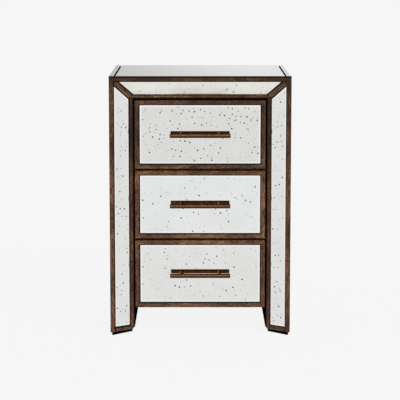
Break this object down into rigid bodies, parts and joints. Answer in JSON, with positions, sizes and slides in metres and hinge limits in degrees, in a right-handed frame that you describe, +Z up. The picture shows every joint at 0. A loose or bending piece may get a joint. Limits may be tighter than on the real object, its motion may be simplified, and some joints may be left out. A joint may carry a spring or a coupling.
{
  "type": "mirrored nightstand",
  "caption": "Bedside cabinet with a splayed antique-mirror front frame, brown wood mouldings, mirrored top and sides, and sliding drawers with round bar pulls.",
  "frame": {"origin": "on the floor, under the middle of the bounding box", "axes": "+X right seen from the front, +Y back (the drawers open towards -Y), +Z up"},
  "size_m": [0.45, 0.4, 0.653],
  "materials": {
    "frame_wood": "mottled dark brown antiqued finish",
    "mirror_glass": "antiqued mirror with small dark specks and a bright edge",
    "black_board": "black stained board, matt",
    "plain_wood": "plain sealed wood",
    "bronze": "aged bronze",
    "zinc_steel": "zinc plated and black passivated"
  },
  "bodies": {
    "root": {"top_board": "black_board", "bottom_board": "black_board", "back_panel": "black_board", "header_board": "black_board", "leg_battens": "plain_wood", "cross_rails": "plain_wood", "side_board_left": "black_board", "side_board_right": "black_board", "inner_side_left": "black_board", "inner_side_right": "black_board", "splay_board_left": "black_board", "splay_board_right": "black_board", "plinth_left": "black_board", "plinth_right": "black_board", "corner_post_left": "frame_wood", "corner_post_right": "frame_wood", "side_frame_left": "frame_wood", "side_frame_right": "frame_wood", "splay_frame_left": "frame_wood", "splay_frame_right": "frame_wood", "header_strip": "frame_wood", "header_inner_strip": "frame_wood", "top_glass": "mirror_glass", "top_edge_glass": "mirror_glass", "header_glass": "mirror_glass", "splay_glass_left": "mirror_glass", "splay_glass_right": "mirror_glass", "side_glass_left": "mirror_glass", "side_glass_right": "mirror_glass", "cabinet_runners": "zinc_steel", "cabinet_runner_screws": "zinc_steel", "back_screws": "zinc_steel"},
    "lower_drawer": {"lower_front_board": "black_board", "lower_front_frame": "frame_wood", "lower_front_glass": "mirror_glass", "lower_box_walls": "plain_wood", "lower_box_bottom": "plain_wood", "lower_pull": "bronze", "lower_screws": "zinc_steel", "lower_runner_inner": "zinc_steel"},
    "lower_runner": {"lower_runner_link": "zinc_steel"},
    "middle_drawer": {"middle_front_board": "black_board", "middle_front_frame": "frame_wood", "middle_front_glass": "mirror_glass", "middle_box_walls": "plain_wood", "middle_box_bottom": "plain_wood", "middle_pull": "bronze", "middle_screws": "zinc_steel", "middle_runner_inner": "zinc_steel"},
    "middle_runner": {"middle_runner_link": "zinc_steel"},
    "upper_drawer": {"upper_front_board": "black_board", "upper_front_frame": "frame_wood", "upper_front_glass": "mirror_glass", "upper_box_walls": "plain_wood", "upper_box_bottom": "plain_wood", "upper_pull": "bronze", "upper_screws": "zinc_steel", "upper_runner_inner": "zinc_steel"},
    "upper_runner": {"upper_runner_link": "zinc_steel"}
  },
  "joints": [
    {"name": "lower_drawer_slide", "type": "slide", "parent": "root", "child": "lower_drawer", "axis": [0, -1, 0], "range_m": [0, 0.28]},
    {"name": "lower_runner_slide", "type": "slide", "parent": "root", "child": "lower_runner", "axis": [0, -1, 0], "range_m": [0, 0.14]},
    {"name": "middle_drawer_slide", "type": "slide", "parent": "root", "child": "middle_drawer", "axis": [0, -1, 0], "range_m": [0, 0.28]},
    {"name": "middle_runner_slide", "type": "slide", "parent": "root", "child": "middle_runner", "axis": [0, -1, 0], "range_m": [0, 0.14]},
    {"name": "upper_drawer_slide", "type": "slide", "parent": "root", "child": "upper_drawer", "axis": [0, -1, 0], "range_m": [0, 0.28]},
    {"name": "upper_runner_slide", "type": "slide", "parent": "root", "child": "upper_runner", "axis": [0, -1, 0], "range_m": [0, 0.14]}
  ],
  "couplings": [
    {"joint": "lower_runner_slide", "follows": "lower_drawer_slide", "ratio": 0.5},
    {"joint": "middle_runner_slide", "follows": "middle_drawer_slide", "ratio": 0.5},
    {"joint": "upper_runner_slide", "follows": "upper_drawer_slide", "ratio": 0.5}
  ]
}
